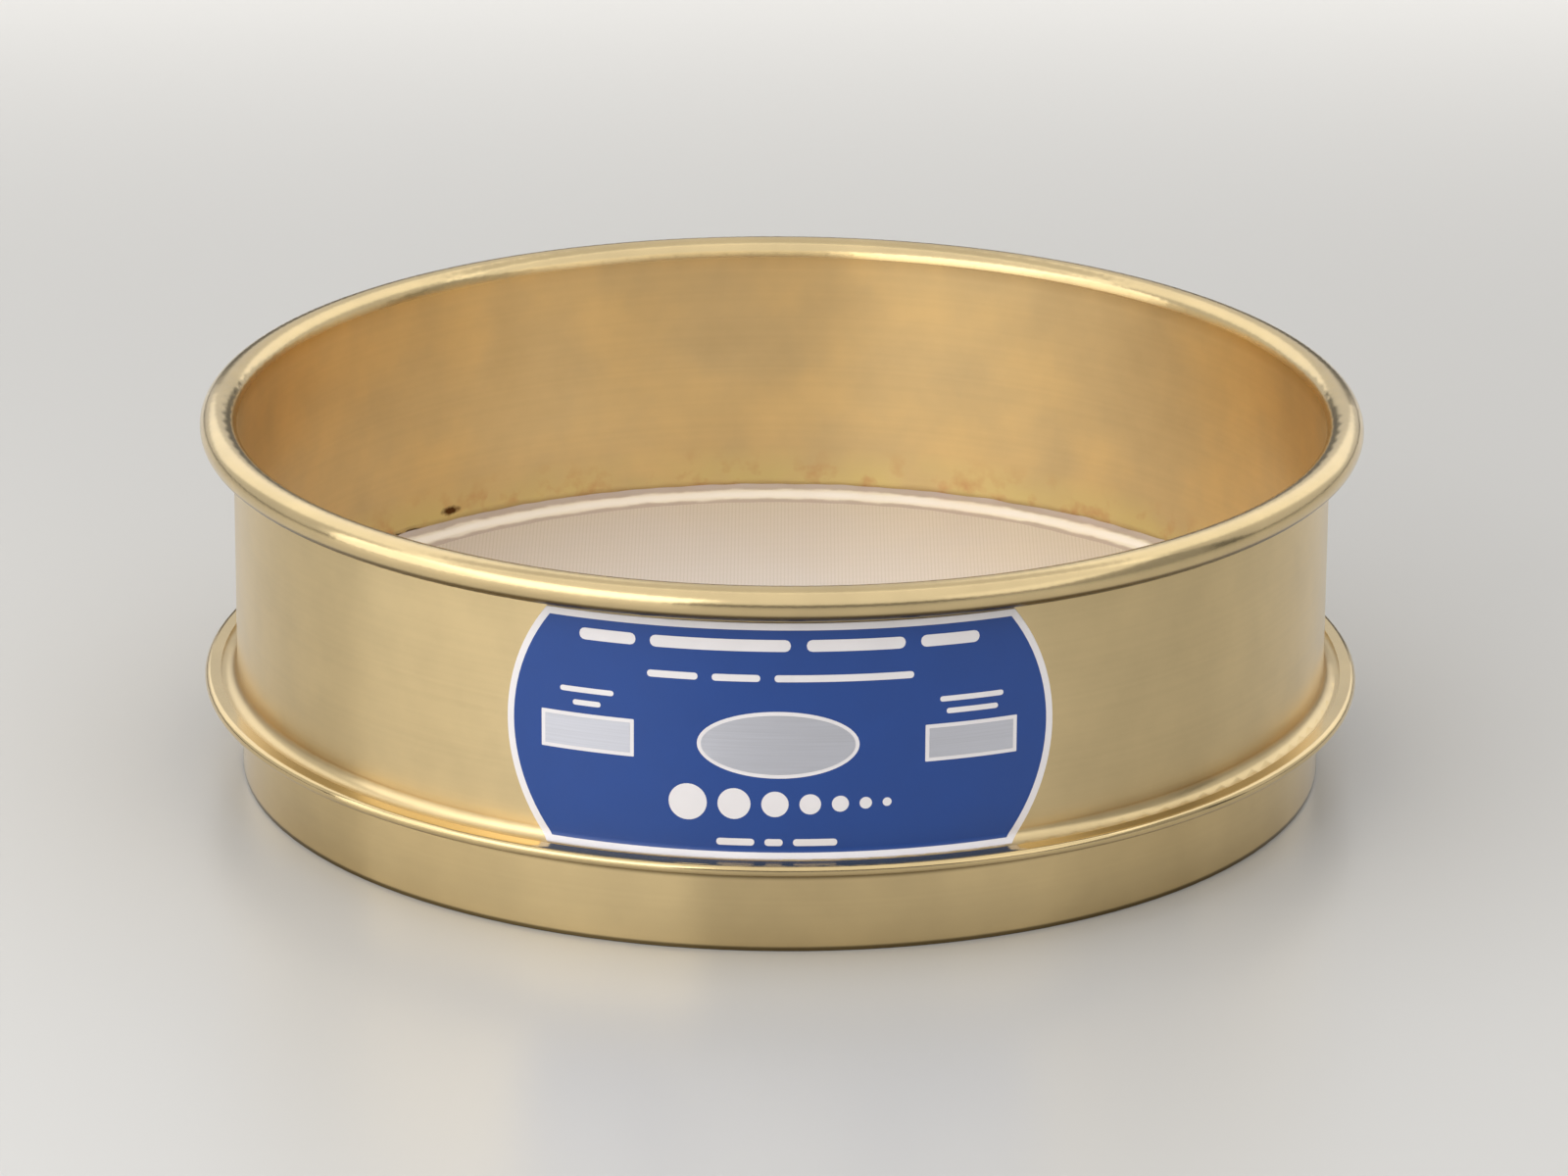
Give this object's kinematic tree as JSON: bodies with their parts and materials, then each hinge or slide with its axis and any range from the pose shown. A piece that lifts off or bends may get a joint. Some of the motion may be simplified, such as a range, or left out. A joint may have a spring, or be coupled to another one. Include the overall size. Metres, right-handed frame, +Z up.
{
  "type": "test sieve",
  "caption": "Round brass test sieve: rolled rim, woven wire cloth clamped in a hemmed seam, solder fillet, nesting skirt and blank printed nameplate.",
  "frame": {"origin": "on the sieve's axis, at the foot of the skirt", "axes": "+Z up along the sieve's axis, the nameplate facing -Y"},
  "size_m": [0.2168, 0.2168, 0.0698],
  "materials": {
    "frame_brass": "spun and polished",
    "skirt_brass": "spun and polished",
    "wire_cloth": "fine plain weave",
    "solder": "flowed and wiped",
    "plate_print": "printed blue with bare metal windows"
  },
  "bodies": {
    "root": {"upper_frame": "frame_brass", "skirt": "skirt_brass", "sieve_cloth": "wire_cloth", "solder_ring": "solder", "nameplate": "plate_print"}
  },
  "joints": []
}
